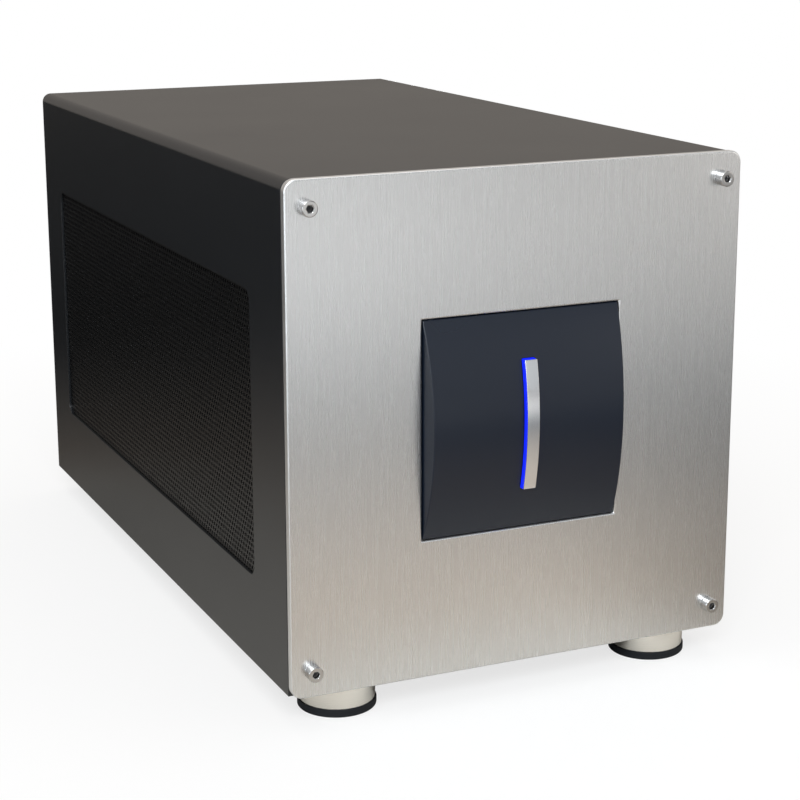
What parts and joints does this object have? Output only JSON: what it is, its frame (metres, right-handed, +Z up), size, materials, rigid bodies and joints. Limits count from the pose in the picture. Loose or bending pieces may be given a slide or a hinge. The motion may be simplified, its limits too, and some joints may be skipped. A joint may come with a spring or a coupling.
{
  "type": "pcie expansion chassis",
  "caption": "Desktop enclosure for one plug-in card: steel tray under a slide-off cover with mesh windows, metal front with a domed lit badge, power supply, fans, feet.",
  "frame": {"origin": "middle of the whole part's footprint, on the surface that the rubber foot pads rest on", "axes": "+Z up; the front panel and its badge face -Y, the rear panel +Y; +X is to the right as seen from the front"},
  "size_m": [0.185, 0.3476, 0.202],
  "materials": {
    "panel": "brushed",
    "bright": "polished",
    "badge": "gloss",
    "bar": "brushed",
    "light": "clear, lit blue",
    "cover": "satin",
    "mesh": "satin",
    "chassis": "satin",
    "zinc": "plated",
    "black_screw": "black oxide",
    "foot": "turned",
    "rubber": "matt",
    "board": "solder mask",
    "brass": "plain",
    "black_plastic": "fine grain",
    "chip": "moulded",
    "sink": "anodised",
    "parts": "mixed",
    "plug": "moulded",
    "psu": "fine texture",
    "steel": "satin",
    "lead": "sleeved",
    "red_lead": "insulated"
  },
  "bodies": {
    "chassis": {"front_panel": "panel", "panel_screws": "bright", "badge_bezel": "badge", "light_bar": "bar", "light_guide": "light", "led_board": "board", "badge_screws": "zinc", "base_tray": "chassis", "press_nuts": "zinc", "rear_panel": "chassis", "rear_rivets": "black_screw", "slot_frame": "chassis", "slot_covers": "steel", "slot_screws": "zinc", "feet": "foot", "foot_pads": "rubber", "foot_screws": "zinc", "main_board": "board", "standoffs": "brass", "board_screws": "zinc", "card_slot": "black_plastic", "controller_chip": "chip", "heatsink": "sink", "board_parts": "parts", "power_header": "black_plastic", "power_plug": "plug", "data_port": "steel", "port_tongue": "chip", "psu_case": "psu", "psu_screws": "black_screw", "psu_rest": "steel", "inlet_socket": "black_plastic", "inlet_pins": "brass", "switch_bezel": "black_plastic", "psu_fan_frame": "black_plastic", "psu_fan_guard": "bright", "psu_fan_screws": "black_screw", "fan_bracket": "chassis", "bracket_screws": "zinc", "fan_frame": "black_plastic", "fan_screws": "black_screw", "main_lead": "lead", "card_lead": "lead", "card_plug": "black_plastic", "lead_clip": "plug", "lead_grommets": "rubber", "fan_lead": "lead", "light_lead": "red_lead"},
    "cover": {"cover": "cover", "left_grille": "mesh", "right_grille": "mesh"},
    "thumbscrew_left": {"thumbscrew_left": "black_screw"},
    "thumbscrew_right": {"thumbscrew_right": "black_screw"},
    "fan_rotor": {"fan_rotor": "black_plastic"},
    "psu_rotor": {"psu_rotor": "black_plastic"},
    "rocker": {"power_rocker": "black_plastic"},
    "latch": {"slot_latch": "plug"}
  },
  "joints": [
    {"name": "cover_slide", "type": "slide", "parent": "chassis", "child": "cover", "axis": [0, 1, 0], "range_m": [0, 0.32]},
    {"name": "thumbscrew_left_turn", "type": "hinge", "parent": "cover", "child": "thumbscrew_left", "pos_m": [-0.0851, 0.1662, 0.1717], "axis": [0, 1, 0], "continuous": true},
    {"name": "thumbscrew_right_turn", "type": "hinge", "parent": "cover", "child": "thumbscrew_right", "pos_m": [0.0851, 0.1662, 0.1717], "axis": [0, 1, 0], "continuous": true},
    {"name": "fan_spin", "type": "hinge", "parent": "chassis", "child": "fan_rotor", "pos_m": [0.0744, -0.0418, 0.102], "axis": [-1, 0, 0], "continuous": true},
    {"name": "psu_fan_spin", "type": "hinge", "parent": "chassis", "child": "psu_rotor", "pos_m": [0.0728, 0.1135, 0.0822], "axis": [-1, 0, 0], "continuous": true},
    {"name": "rocker_tilt", "type": "hinge", "parent": "chassis", "child": "rocker", "pos_m": [0.04955, 0.1629, 0.0817], "axis": [1, 0, 0], "range_deg": [-16, 0]},
    {"name": "latch_turn", "type": "hinge", "parent": "chassis", "child": "latch", "pos_m": [-0.0199, 0.002, 0.0273], "axis": [1, 0, 0], "range_deg": [0, 30]}
  ]
}
